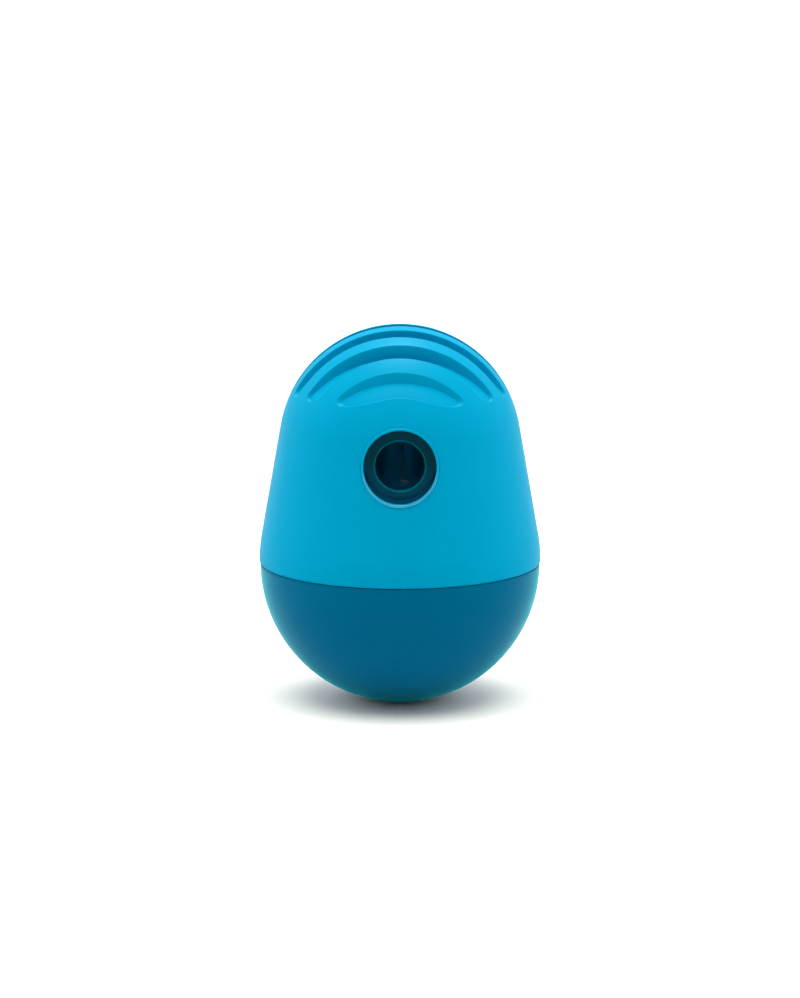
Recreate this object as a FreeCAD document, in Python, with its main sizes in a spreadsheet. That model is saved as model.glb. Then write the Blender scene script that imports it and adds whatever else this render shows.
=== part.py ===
import FreeCAD, Part
import math
import os
import re
import Sketcher

# A hand-held, egg-shaped pencil sharpener with a round weighted bowl and a pull-off cap.
# Millimetres, +Z up, origin on the floor under the middle of the bowl, pencil hole facing -Y.

SIZES = (
    ("rim_radius", 24.0, "outer radius of the cap at its rim"),
    ("rim_overhang", 0.15, "how far the rim stands out over the bowl"),
    ("bowl_wall", 1.8, "wall of the bowl"),
    ("floor_pad_radius", 5.6, "flat floor inside the bowl"),
    ("foot_radius", 4.0, "flat foot under the bowl"),
    ("parting_rise", 0.39, "seat that the cap rests on, above the bowl's centre"),
    ("seam_height", 0.25, "height of the shadow gap under the cap"),
    ("seam_depth", 0.7, "how far the shadow gap reaches in"),
    ("spigot_height", 5.0, "height of the spigot that carries the cap"),
    ("spigot_wall", 1.2, "wall of the spigot"),
    ("spigot_lead", 0.4, "chamfer at the top of the spigot"),
    ("push_fit", 0.06, "radial play of the cap on the spigot"),
    ("spigot_headroom", 0.5, "free height above the spigot in the cap"),
    ("ballast_height", 7.0, "height of the steel weight"),
    ("ballast_play", 0.15, "play of weight and cover in the bowl"),
    ("post_radius", 3.0, "post for the cover screw"),
    ("cover_thickness", 2.0, "floor plate over the weight"),
    ("rim_wall", 1.6, "wall of the cap round the spigot"),
    ("rim_edge", 0.2, "chamfer on the rim"),
    ("rim_band", 0.1, "straight band above the rim chamfer"),
    ("blend_radius", 25.0, "round between the rim and the cone"),
    ("dome_radius", 20.6, "outer radius of the dome"),
    ("dome_rise", 19.95, "dome centre above the seat"),
    ("cap_wall", 2.0, "wall of the cone"),
    ("crown_wall", 1.6, "wall under the grip grooves"),
    ("groove_pairs", 3, "grooves in front of and behind the middle one"),
    ("groove_pitch", 5.3, "spacing of the grip grooves"),
    ("groove_width", 2.65, "width of a grip groove"),
    ("groove_depth", 2.5, "depth of the grooves at the crown"),
    ("groove_end_depth", 0.35, "depth of the grooves at their ends"),
    ("groove_end_rise", 9.1, "lowest point of the grooves above the dome centre"),
    ("roof_drop", 2.2, "edge of the cap's roof below the groove ends"),
    ("groove_edge", 0.2, "rounded edge of the grooves"),
    ("pencil_drop", 0.35, "pencil hole's axis below the dome centre"),
    ("port_radius", 6.1, "round port in the cap"),
    ("port_lip", 0.5, "chamfer round the port"),
    ("collar_fit", 0.1, "radial play of the collar in the port"),
    ("collar_sink", 1.78, "collar face behind the cone, at the bore's axis"),
    ("collar_length", 7.2, "length of the round collar"),
    ("ear_station", 16.2, "fixing screws behind the collar face"),
    ("ear_spacing", 10.2, "each fixing screw's distance from the middle"),
    ("ear_thickness", 2.0, "thickness of the insert's ears"),
    ("ear_radius", 2.4, "half width of an ear, and radius of a post"),
    ("bore_radius", 4.1, "pencil hole"),
    ("bore_chamfer", 0.25, "chamfer at the pencil hole's mouth"),
    ("lead_in", 8.0, "pencil hole from the collar face to the taper"),
    ("taper_length", 17.0, "length of the tapered bore"),
    ("tip_radius", 0.9, "small end of the tapered bore"),
    ("insert_length", 26.7, "insert from the collar face to its back"),
    ("block_left", 6.2, "insert to the left of the bore's axis"),
    ("block_right", 7.6, "insert to the right of the bore's axis"),
    ("block_top", 6.0, "insert above the bore's axis"),
    ("chute_width", 4.6, "mouth of the chute that lets shavings out"),
    ("chute_lip", 0.3, "chute edge beside the cutting edge"),
    ("chute_rise", 1.2, "top of the chute below the bore's axis"),
    ("blade_length", 17.5, "length of the blade"),
    ("blade_width", 7.4, "width of the blade"),
    ("blade_thickness", 0.6, "thickness of the blade"),
    ("blade_bevel", 1.3, "ground bevel of the cutting edge"),
    ("blade_overhang", 0.15, "cutting edge past the middle of the bore"),
    ("blade_bite", 0.25, "how far the blade's seat cuts into the taper"),
    ("blade_screw_side", 4.4, "blade screw beside the bore's axis"),
    ("blade_screw_shank", 1.2, "shank radius of the blade screw"),
    ("blade_screw_reach", 4.0, "length of the blade screw under its head"),
    ("blade_screw_head", 2.3, "head radius of the blade screw"),
    ("blade_screw_head_height", 1.1, "head height of the blade screw"),
    ("ear_screw_shank", 0.85, "shank radius of the ear screws"),
    ("ear_screw_reach", 5.2, "length of the ear screws under the head"),
    ("ear_screw_head", 1.9, "head radius of the ear screws"),
    ("ear_screw_head_height", 1.3, "head height of the ear screws"),
    ("cover_screw_shank", 1.2, "shank radius of the cover screw"),
    ("cover_screw_reach", 6.0, "length of the cover screw under its head"),
    ("cover_screw_head", 2.4, "head radius of the cover screw"),
    ("cover_screw_head_height", 1.1, "head height of the cover screw"),
    ("screw_play", 0.05, "play round a screw's shank or head"),
    ("screw_point", 0.5, "length of a screw's point"),
    ("recess_arm", 1.3, "half length of a screw's cross recess"),
    ("recess_width", 0.5, "width of a screw's cross recess"),
    ("recess_depth", 0.7, "depth of a screw's cross recess"),
    ("pilot_spare", 0.4, "hole left free below a screw's point"),
)

# Each name here follows from the sizes and from the names above it.
DERIVED = (
    ("bowl_radius", "rim_radius - rim_overhang"),
    ("bowl_centre", "sqrt(bowl_radius^2 - foot_radius^2)"),
    ("bowl_inside", "bowl_radius - bowl_wall"),
    ("bowl_floor", "bowl_centre - sqrt(bowl_inside^2 - floor_pad_radius^2)"),
    ("parting_height", "bowl_centre + parting_rise"),
    ("seam_floor", "parting_height - seam_height"),
    ("seam_radius", "sqrt(bowl_radius^2 - (seam_floor - bowl_centre)^2)"),
    ("rim_bore", "rim_radius - rim_wall"),
    ("spigot_radius", "rim_bore - push_fit"),
    ("spigot_inside", "spigot_radius - spigot_wall"),
    ("spigot_top", "parting_height + spigot_height"),
    ("bowl_shoulder", "bowl_centre - sqrt(bowl_inside^2 - spigot_inside^2)"),
    ("ballast_radius", "bowl_inside - ballast_play"),
    ("ballast_bore", "post_radius + ballast_play"),
    ("ballast_top", "bowl_floor + ballast_height"),
    ("ballast_foot_radius", "sqrt(ballast_radius^2 - (bowl_centre - bowl_floor)^2)"),
    ("ballast_top_radius", "sqrt(ballast_radius^2 - (bowl_centre - ballast_top)^2)"),
    ("post_top", "ballast_top - ballast_play"),
    ("cover_top", "ballast_top + cover_thickness"),
    ("cover_top_radius", "sqrt(ballast_radius^2 - (bowl_centre - cover_top)^2)"),
    ("cover_screw_seat", "cover_top - cover_screw_head_height - screw_play"),
    ("cover_screw_hole", "cover_screw_shank + screw_play"),
    ("cover_screw_pit", "cover_screw_head + ballast_play"),
    ("cover_pilot_floor", "cover_screw_seat - cover_screw_reach - pilot_spare"),
    ("dome_centre", "parting_height + dome_rise"),
    ("dome_top", "dome_centre + dome_radius"),
    ("blend_middle", "rim_radius - blend_radius"),
    ("blend_height", "parting_height + rim_edge + rim_band"),
    ("blend_rise", "dome_centre - blend_height"),
    ("cone_turn", "asin((blend_radius - dome_radius) / sqrt(blend_middle^2 + blend_rise^2))"),
    ("cone_angle", "atan(blend_middle / blend_rise) + cone_turn"),
    ("inner_dome", "dome_radius - cap_wall"),
    ("ledge_height", "spigot_top + spigot_headroom"),
    ("ledge_radius", "inner_dome / cos(cone_angle) + (dome_centre - ledge_height) * tan(cone_angle)"),
    ("groove_end_share", "1 - groove_end_depth / dome_radius"),
    ("groove_end_radius", "groove_end_share * sqrt(dome_radius^2 - groove_end_rise^2)"),
    ("groove_floor_rise", "dome_radius - groove_depth - groove_end_share * groove_end_rise"),
    ("groove_floor_radius", "(groove_end_radius^2 + groove_floor_rise^2) / (2 * groove_floor_rise)"),
    ("groove_floor_centre", "dome_top - groove_depth - groove_floor_radius"),
    ("roof_top", "dome_top - groove_depth - crown_wall"),
    ("roof_edge_height", "dome_centre + groove_end_rise - roof_drop"),
    ("roof_edge_radius",
     "inner_dome / cos(cone_angle) - (roof_edge_height - dome_centre) * tan(cone_angle)"),
    ("roof_rise", "roof_top - roof_edge_height"),
    ("roof_radius", "(roof_edge_radius^2 + roof_rise^2) / (2 * roof_rise)"),
    ("pencil_height", "dome_centre - pencil_drop"),
    ("collar_radius", "port_radius - collar_fit"),
    ("collar_face", "dome_radius / cos(cone_angle) + pencil_drop * tan(cone_angle) - collar_sink"),
    ("block_front", "collar_face - collar_length"),
    ("block_end", "insert_length - collar_face"),
    ("ear_depth", "ear_station - collar_face"),
    ("ear_floor", "block_top - ear_thickness"),
    ("ear_reach", "ear_spacing + ear_radius"),
    ("ear_pilot", "ear_screw_shank + screw_play"),
    ("ear_pilot_depth", "ear_screw_reach - ear_thickness + pilot_spare"),
    ("taper_start", "lead_in - collar_face"),
    ("taper_end", "taper_start + taper_length"),
    ("taper_angle", "atan((bore_radius - tip_radius) / taper_length)"),
    ("seat_height", "blade_bite - bore_radius"),
    ("seat_at_front", "seat_height - (block_front + taper_start) * tan(taper_angle)"),
    ("seat_at_end", "seat_height + (block_end - taper_start) * tan(taper_angle)"),
    ("seat_length", "(block_end + block_front) / cos(taper_angle)"),
    ("seat_start", "-(block_front + taper_start) / cos(taper_angle)"),
    ("blade_start", "seat_start + (seat_length - blade_length) / 2"),
    ("blade_middle", "blade_start + blade_length / 2"),
    ("blade_pilot", "blade_screw_shank + screw_play"),
    ("blade_pilot_depth", "blade_screw_reach - blade_thickness + pilot_spare"),
    ("blade_screw_depth",
     "taper_start + blade_middle * cos(taper_angle) + blade_thickness * sin(taper_angle)"),
    ("blade_screw_height",
     "pencil_height + seat_height + blade_middle * sin(taper_angle) - blade_thickness * cos(taper_angle)"),
)

ANGLES = ("cone_turn", "cone_angle", "taper_angle")

doc = FreeCAD.newDocument("EggSharpener")

sizes = doc.addObject("Spreadsheet::Sheet", "Sizes")
for row, (alias, number, note) in enumerate(SIZES, start=1):
    sizes.set(f"A{row}", alias)
    sizes.set(f"B{row}", str(number))
    sizes.set(f"C{row}", note)
    sizes.setAlias(f"B{row}", alias)
doc.recompute()

derived = doc.addObject("App::VarSet", "Derived")
OWNERS = {alias: "Sizes" for alias, _, _ in SIZES}


def full(text):
    """Put the owner's name before each size named in an expression."""
    return re.sub(r"[a-z_]{3,}", lambda m: f"{OWNERS[m[0]]}.{m[0]}" if m[0] in OWNERS else m[0], text)


def value(text):
    """Number that an expression of the sizes comes to."""
    return float(sizes.evalExpression(full(text)))


def bind(thing, **expressions):
    """Bind properties of an object to expressions; __ stands for a dot."""
    for name, text in expressions.items():
        thing.setExpression(name.replace("__", "."), full(text))


for name, text in DERIVED:
    kind = "App::PropertyAngle" if name in ANGLES else "App::PropertyFloat"
    derived.addProperty(kind, name, "Derived")
    derived.setExpression(name, full(text))
    doc.recompute()
    OWNERS[name] = "Derived"


def draw(sketch, corners, arcs=()):
    """Draw a closed outline whose corners and arc radii stay bound to the sizes.

    corners: pairs of expressions, across and up.
    arcs: {index: (radius, turn)} for sides that are arcs; turn is 1 to the left, -1 to the right.
    """
    arcs = dict(arcs)
    points = [FreeCAD.Vector(value(across), value(up), 0) for across, up in corners]
    ends = []
    for index, start in enumerate(points):
        stop = points[(index + 1) % len(points)]
        if index not in arcs:
            side = sketch.addGeometry(Part.LineSegment(start, stop), False)
            ends.append((side, 1, 2))
            continue
        radius, turn = arcs[index]
        chord = stop - start
        half = chord.Length / 2
        left = FreeCAD.Vector(-chord.y, chord.x, 0).normalize()
        centre = (start + stop) / 2 + left * (turn * math.sqrt(value(radius) ** 2 - half ** 2))
        first, last = (start, stop) if turn > 0 else (stop, start)
        from_angle = math.atan2(first.y - centre.y, first.x - centre.x)
        to_angle = math.atan2(last.y - centre.y, last.x - centre.x)
        circle = Part.Circle(centre, FreeCAD.Vector(0, 0, 1), value(radius))
        side = sketch.addGeometry(Part.ArcOfCircle(circle, from_angle, to_angle), False)
        ends.append((side, 1, 2) if turn > 0 else (side, 2, 1))
        hold = sketch.addConstraint(Sketcher.Constraint("Radius", side, value(radius)))
        bind(sketch, **{f"Constraints[{hold}]": radius})
    for index, (across, up) in enumerate(corners):
        side, head, _ = ends[index]
        before, _, tail = ends[index - 1]
        sketch.addConstraint(Sketcher.Constraint("Coincident", before, tail, side, head))
        for kind, text in (("DistanceX", across), ("DistanceY", up)):
            hold = sketch.addConstraint(Sketcher.Constraint(kind, -1, 1, side, head, value(text)))
            bind(sketch, **{f"Constraints[{hold}]": text})


def draw_circle(sketch, across, up, radius):
    """Draw a circle whose centre and radius stay bound to the sizes."""
    centre = FreeCAD.Vector(value(across), value(up), 0)
    circle = sketch.addGeometry(Part.Circle(centre, FreeCAD.Vector(0, 0, 1), value(radius)), False)
    for kind, text in (("DistanceX", across), ("DistanceY", up)):
        hold = sketch.addConstraint(Sketcher.Constraint(kind, -1, 1, circle, 3, value(text)))
        bind(sketch, **{f"Constraints[{hold}]": text})
    hold = sketch.addConstraint(Sketcher.Constraint("Radius", circle, value(radius)))
    bind(sketch, **{f"Constraints[{hold}]": radius})


def new_body(label):
    """Make an empty body for one sub-part."""
    body = doc.addObject("PartDesign::Body", label)
    body.Label = label
    return body


def new_sketch(body, plane, lift="0"):
    """Make a sketch on one of a body's own planes, lifted along the plane's normal."""
    sketch = body.newObject("Sketcher::SketchObject", f"{body.Name}_sketch")
    origin_plane = next(item for item in body.Origin.OriginFeatures if item.Role == plane)
    sketch.AttachmentSupport = [(origin_plane, "")]
    sketch.MapMode = "FlatFace"
    bind(sketch, AttachmentOffset__Base__z=lift)
    doc.recompute()
    return sketch


def pad(body, sketch, length, reverse=False):
    """Raise a sketch into the body."""
    feature = body.newObject("PartDesign::Pad", f"{body.Name}_pad")
    feature.Profile = sketch
    feature.Reversed = reverse
    bind(feature, Length=length)
    doc.recompute()
    return feature


def cut_solid(body, kind, sketch, set_up):
    """Add a cutting feature to the body and check that it took material away."""
    before = body.Shape.Volume
    feature = body.newObject(kind, f"{body.Name}_cut")
    feature.Profile = sketch
    set_up(feature)
    doc.recompute()
    if not body.Shape.Volume < before:
        raise RuntimeError(f"{feature.Name} cut nothing from {body.Label}")
    return feature


def pocket(body, sketch, depth, reverse=False):
    """Cut a sketch into the body."""
    def set_up(feature):
        feature.Reversed = reverse
        bind(feature, Length=depth)
    return cut_solid(body, "PartDesign::Pocket", sketch, set_up)


def turn(body, corners, arcs=()):
    """Turn an outline of radius and height round the vertical axis."""
    sketch = new_sketch(body, "XZ_Plane")
    draw(sketch, corners, arcs)
    feature = body.newObject("PartDesign::Revolution", f"{body.Name}_turned")
    feature.Profile = sketch
    feature.ReferenceAxis = (sketch, ["V_Axis"])
    feature.Angle = 360
    doc.recompute()
    return feature


def make_lower_bowl():
    """Round bowl with a flat foot, a post for the cover screw and the spigot for the cap."""
    body = new_body("lower_bowl")
    seam_inside = "seam_radius - seam_depth"
    turn(body, [
        ("0", "0"),
        ("foot_radius", "0"),
        ("seam_radius", "seam_floor"),
        (seam_inside, "seam_floor"),
        (seam_inside, "parting_height"),
        ("spigot_radius", "parting_height"),
        ("spigot_radius", "spigot_top - spigot_lead"),
        ("spigot_radius - spigot_lead", "spigot_top"),
        ("spigot_inside", "spigot_top"),
        ("spigot_inside", "bowl_shoulder"),
        ("floor_pad_radius", "bowl_floor"),
        ("post_radius", "bowl_floor"),
        ("post_radius", "post_top"),
        ("cover_screw_hole", "post_top"),
        ("cover_screw_hole", "cover_pilot_floor"),
        ("0", "cover_pilot_floor"),
    ], {1: ("bowl_radius", 1), 9: ("bowl_inside", -1)})
    return body


def make_ballast_weight():
    """Turned steel weight that fills the bottom of the bowl round the post."""
    body = new_body("ballast_weight")
    turn(body, [
        ("ballast_bore", "bowl_floor"),
        ("ballast_foot_radius", "bowl_floor"),
        ("ballast_top_radius", "ballast_top"),
        ("ballast_bore", "ballast_top"),
    ], {1: ("ballast_radius", 1)})
    return body


def make_ballast_cover():
    """Floor plate over the weight, with a pit for the screw's head."""
    body = new_body("ballast_cover")
    turn(body, [
        ("cover_screw_hole", "ballast_top"),
        ("ballast_top_radius", "ballast_top"),
        ("cover_top_radius", "cover_top"),
        ("cover_screw_pit", "cover_top"),
        ("cover_screw_pit", "cover_screw_seat"),
        ("cover_screw_hole", "cover_screw_seat"),
    ], {1: ("ballast_radius", 1)})
    return body


def make_screw(label, kind):
    """Screw with a cross recess: head above its origin, shank below, sizes named after its kind."""
    shank, head = f"{kind}_shank", f"{kind}_head"
    reach, head_height = f"{kind}_reach", f"{kind}_head_height"
    body = new_body(label)
    turn(body, [
        ("0", f"-{reach}"),
        (shank, f"screw_point - {reach}"),
        (shank, "0"),
        (head, "0"),
        (head, head_height),
        ("0", head_height),
    ])
    recess = new_sketch(body, "XY_Plane", head_height)
    arm, half = "recess_arm", "recess_width / 2"
    draw(recess, [
        (arm, f"-{half}"), (arm, half), (half, half), (half, arm),
        (f"-{half}", arm), (f"-{half}", half), (f"-{arm}", half), (f"-{arm}", f"-{half}"),
        (f"-{half}", f"-{half}"), (f"-{half}", f"-{arm}"), (half, f"-{arm}"), (half, f"-{half}"),
    ])
    pocket(body, recess, "recess_depth")
    return body


def make_cover_screw():
    """Screw through the cover into the bowl's post."""
    body = make_screw("cover_screw", "cover_screw")
    bind(body, Placement__Base__z="cover_screw_seat")
    return body


def make_sharpener_insert():
    """Insert with the visible collar, two ears, the tapered bore and the blade's seat."""
    body = new_body("sharpener_insert")
    bind(body, Placement__Base__z="pencil_height")

    # Collar that shows in the port
    collar = new_sketch(body, "XZ_Plane", "collar_face")
    draw_circle(collar, "0", "0", "collar_radius")
    pad(body, collar, "collar_length", reverse=True)

    # Wedge block whose underside is the blade's seat
    block = new_sketch(body, "YZ_Plane", "-block_left")
    draw(block, [
        ("-block_front", "seat_at_front"), ("block_end", "seat_at_end"),
        ("block_end", "block_top"), ("-block_front", "block_top"),
    ])
    pad(body, block, "block_left + block_right")

    # Ears to both sides of the block, under the cap's posts
    ears = new_sketch(body, "XY_Plane", "ear_floor")
    draw(ears, [
        ("-ear_reach", "ear_depth - ear_radius"), ("ear_reach", "ear_depth - ear_radius"),
        ("ear_reach", "ear_depth + ear_radius"), ("-ear_reach", "ear_depth + ear_radius"),
    ])
    pad(body, ears, "ear_thickness")

    # Pencil hole, taper and tip hole about the bore's axis
    bore = new_sketch(body, "YZ_Plane")
    draw(bore, [
        ("-collar_face", "0"),
        ("-collar_face", "bore_radius + bore_chamfer"),
        ("bore_chamfer - collar_face", "bore_radius"),
        ("taper_start", "bore_radius"),
        ("taper_end", "tip_radius"),
        ("block_end", "tip_radius"),
        ("block_end", "0"),
    ])

    def set_up_bore(feature):
        feature.ReferenceAxis = (bore, ["H_Axis"])
        feature.Angle = 360
    cut_solid(body, "PartDesign::Groove", bore, set_up_bore)

    # Chute beside the cutting edge
    chute = new_sketch(body, "XZ_Plane", "-taper_start")
    chute_low = "seat_height - blade_thickness"
    draw(chute, [
        ("-chute_lip", chute_low), ("-chute_lip", "-chute_rise"), ("-chute_lip - chute_width", chute_low),
    ])
    pocket(body, chute, "taper_length")

    # Holes through the ears
    ear_holes = new_sketch(body, "XY_Plane", "block_top")
    draw_circle(ear_holes, "-ear_spacing", "ear_depth", "ear_pilot")
    draw_circle(ear_holes, "ear_spacing", "ear_depth", "ear_pilot")
    pocket(body, ear_holes, "ear_thickness")

    # Blind hole for the blade screw, square to the seat
    pilot = new_sketch(body, "XY_Plane", "seat_height")
    tilt = FreeCAD.Rotation(FreeCAD.Vector(1, 0, 0), value("taper_angle"))
    pilot.AttachmentOffset = FreeCAD.Placement(pilot.AttachmentOffset.Base, tilt)
    bind(pilot, AttachmentOffset__Base__y="taper_start", AttachmentOffset__Rotation__Angle="taper_angle")
    draw_circle(pilot, "blade_screw_side", "blade_middle", "blade_pilot")
    pocket(body, pilot, "blade_pilot_depth", reverse=True)
    return body


def lay_on_seat(body, turned=0):
    """Tilt a body from the vertical to the blade's seat, with an extra turn about the same axis."""
    body.Placement.Rotation = FreeCAD.Rotation(FreeCAD.Vector(1, 0, 0), value("taper_angle") + turned)
    bind(body, Placement__Rotation__Angle=f"taper_angle + {turned} * 1 deg")


def make_blade():
    """Ground plate whose cutting edge lies along the taper."""
    body = new_body("blade")
    section = new_sketch(body, "XZ_Plane", "-blade_start")
    draw(section, [
        ("-blade_overhang", "0"),
        ("blade_bevel - blade_overhang", "-blade_thickness"),
        ("blade_width - blade_overhang", "-blade_thickness"),
        ("blade_width - blade_overhang", "0"),
    ])
    pad(body, section, "blade_length", reverse=True)
    hole = new_sketch(body, "XY_Plane")
    draw_circle(hole, "blade_screw_side", "blade_middle", "blade_pilot")
    pocket(body, hole, "blade_thickness")
    lay_on_seat(body)
    bind(body, Placement__Base__y="taper_start", Placement__Base__z="pencil_height + seat_height")
    return body


def make_blade_screw():
    """Screw that clamps the blade from below."""
    body = make_screw("blade_screw", "blade_screw")
    lay_on_seat(body, turned=180)
    bind(body, Placement__Base__x="blade_screw_side", Placement__Base__y="blade_screw_depth",
         Placement__Base__z="blade_screw_height")
    return body


def make_insert_screws():
    """Two equal screws up through the ears into the cap's posts."""
    pair = []
    for side in (-1, 1):
        body = make_screw(f"insert_screw_{'left' if side < 0 else 'right'}", "ear_screw")
        body.Placement.Rotation = FreeCAD.Rotation(FreeCAD.Vector(1, 0, 0), 180)
        bind(body, Placement__Base__x=f"{side} * ear_spacing", Placement__Base__y="ear_depth",
             Placement__Base__z="pencil_height + ear_floor")
        pair.append(body)
    group = doc.addObject("Part::Compound", "insert_screws")
    group.Links = pair
    group.Label = "insert_screws"
    return group


def turned_solid(name, corners, arcs):
    """Solid turned from an outline of radius and height, for use in the cap."""
    sketch = doc.addObject("Sketcher::SketchObject", f"{name}_outline")
    sketch.Placement.Rotation = FreeCAD.Rotation(FreeCAD.Vector(1, 0, 0), 90)
    draw(sketch, corners, arcs)
    solid = doc.addObject("Part::Revolution", name)
    solid.Source = sketch
    solid.Axis = FreeCAD.Vector(0, 0, 1)
    solid.Angle = 360
    solid.Solid = True
    doc.recompute()
    return solid


def rod(name, radius, length, across, depth, height):
    """Upright cylinder standing on its place."""
    cylinder = doc.addObject("Part::Cylinder", name)
    bind(cylinder, Radius=radius, Height=length, Placement__Base__x=across, Placement__Base__y=depth,
         Placement__Base__z=height)
    return cylinder


def combine(kind, name, **links):
    """Boolean of earlier objects."""
    feature = doc.addObject(kind, name)
    for key, link in links.items():
        setattr(feature, key, link)
    doc.recompute()
    return feature


def make_groove_cutters():
    """Upright slots with round lower ends, over the shallow dome that is the grooves' floor."""
    pairs = int(value("groove_pairs"))
    slots = []
    for step in range(-pairs, pairs + 1):
        slot = doc.addObject("Part::Box", f"groove_slot_{step + pairs}")
        middle = f"{step} * groove_pitch"
        spring = "dome_centre + groove_end_rise + groove_width / 2"
        bind(slot, Length="2 * dome_radius", Width="groove_width", Height="dome_radius",
             Placement__Base__x="-dome_radius", Placement__Base__y=f"{middle} - groove_width / 2",
             Placement__Base__z=spring)
        end = doc.addObject("Part::Cylinder", f"groove_end_{step + pairs}")
        end.Placement.Rotation = FreeCAD.Rotation(FreeCAD.Vector(0, 1, 0), 90)
        bind(end, Radius="groove_width / 2", Height="2 * dome_radius",
             Placement__Base__x="-dome_radius", Placement__Base__y=middle, Placement__Base__z=spring)
        slots += [slot, end]
    bank = combine("Part::MultiFuse", "groove_bank", Shapes=slots, Refine=True)
    floor = doc.addObject("Part::Sphere", "groove_floor")
    bind(floor, Radius="groove_floor_radius", Placement__Base__z="groove_floor_centre")
    return combine("Part::Cut", "groove_cutters", Base=bank, Tool=floor)


def depth_in_cap(point):
    """Distance of a point from the cap's outer surface, on the dome or the cone."""
    radius = math.hypot(point.x, point.y)
    rise = point.z - value("dome_centre")
    angle = math.radians(value("cone_angle"))
    if rise * math.cos(angle) > radius * math.sin(angle):
        return value("dome_radius") - math.hypot(radius, rise)
    return value("dome_radius") - radius * math.cos(angle) - rise * math.sin(angle)


def edges_where(shape, test):
    """Numbers of the edges of a shape whose ends and middle all pass a test."""
    found = []
    for number, edge in enumerate(shape.Edges, start=1):
        middle = edge.valueAt((edge.FirstParameter + edge.LastParameter) / 2)
        if all(test(point) for point in [middle] + [vertex.Point for vertex in edge.Vertexes]):
            found.append(number)
    return found


def make_upper_shell():
    """Cap: cone and dome, hollow, with the port, two screw posts and the grip grooves."""
    outer = turned_solid("cap_outer", [
        ("0", "parting_height"),
        ("rim_radius - rim_edge", "parting_height"),
        ("rim_radius", "parting_height + rim_edge"),
        ("rim_radius", "blend_height"),
        ("blend_middle + blend_radius * cos(cone_angle)", "blend_height + blend_radius * sin(cone_angle)"),
        ("dome_radius * cos(cone_angle)", "dome_centre + dome_radius * sin(cone_angle)"),
        ("0", "dome_top"),
    ], {3: ("blend_radius", 1), 5: ("dome_radius", 1)})
    hollow = turned_solid("cap_hollow", [
        ("0", "parting_height"),
        ("rim_bore", "parting_height"),
        ("rim_bore", "ledge_height"),
        ("ledge_radius", "ledge_height"),
        ("roof_edge_radius", "roof_edge_height"),
        ("0", "roof_top"),
    ], {4: ("roof_radius", 1)})
    wall = combine("Part::Cut", "cap_wall_solid", Base=outer, Tool=hollow)

    # Two posts hang from the roof down to the insert's ears
    sides = {"left": "-ear_spacing", "right": "ear_spacing"}
    post_foot = "pencil_height + block_top"
    posts = [
        rod(f"post_{side}", "ear_radius", "dome_radius", across, "ear_depth", post_foot)
        for side, across in sides.items()
    ]
    post_pair = combine("Part::MultiFuse", "post_pair", Shapes=posts)
    trimmed = combine("Part::MultiCommon", "trimmed_posts", Shapes=[post_pair, outer])
    posted = combine("Part::MultiFuse", "posted_cap", Shapes=[wall, trimmed], Refine=True)

    # Port for the collar and pilot holes in the posts
    port = rod("port", "port_radius", "dome_radius", "0", "-block_front", "pencil_height")
    port.Placement.Rotation = FreeCAD.Rotation(FreeCAD.Vector(1, 0, 0), 90)
    pilots = [
        rod(f"post_pilot_{side}", "ear_pilot", "ear_pilot_depth", across, "ear_depth", post_foot)
        for side, across in sides.items()
    ]
    hole_group = combine("Part::MultiFuse", "cap_holes", Shapes=[port] + pilots)
    ported = combine("Part::Cut", "ported_cap", Base=posted, Tool=hole_group)
    grooved = combine("Part::Cut", "grooved_cap", Base=ported, Tool=make_groove_cutters())

    # Chamfer round the port
    near = 0.001

    def on_port(point):
        off_axis = math.hypot(point.x, point.z - value("pencil_height"))
        return abs(off_axis - value("port_radius")) < near and abs(depth_in_cap(point)) < near
    lipped = doc.addObject("Part::Chamfer", "lipped_cap")
    lipped.Base = grooved
    lip = value("port_lip")
    lipped.Edges = [(number, lip, lip) for number in edges_where(grooved.Shape, on_port)]
    doc.recompute()

    # Rounded edges of the grooves
    groove_low = value("dome_centre + groove_end_rise") - near

    def on_groove(point):
        return point.z > groove_low and abs(depth_in_cap(point)) < near
    shell = doc.addObject("Part::Fillet", "upper_shell")
    shell.Base = lipped
    edge = value("groove_edge")
    shell.Edges = [(number, edge, edge) for number in edges_where(lipped.Shape, on_groove)]
    shell.Label = "upper_shell"
    doc.recompute()
    return shell


def check_and_write(parts):
    """Stop on any failed object or bad shape, then write one file for each sub-part."""
    for thing in doc.Objects:
        if "Invalid" in thing.State or "Error" in thing.State:
            raise RuntimeError(f"{thing.Name} failed: {thing.State}")
    for part in parts:
        if part.Shape.isNull() or not part.Shape.isValid():
            raise RuntimeError(f"{part.Label} has no valid shape")
    os.makedirs("parts", exist_ok=True)
    for part in parts:
        part.Shape.exportStep(f"parts/{part.Label}.step")
        print(f"{part.Label}: {len(part.Shape.Solids)} solid(s), {part.Shape.Volume:.1f} mm3")


pieces = [
    make_lower_bowl(),
    make_ballast_weight(),
    make_ballast_cover(),
    make_cover_screw(),
    make_upper_shell(),
    make_sharpener_insert(),
    make_blade(),
    make_blade_screw(),
    make_insert_screws(),
]
doc.recompute()
check_and_write(pieces)
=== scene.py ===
"""Looks of the egg-shaped pencil sharpener: dressed pieces, finishes, studio and camera."""

import logging
import math
from collections.abc import Callable
from dataclasses import dataclass
from enum import Enum

import bpy
from mathutils import Matrix, Vector

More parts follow.
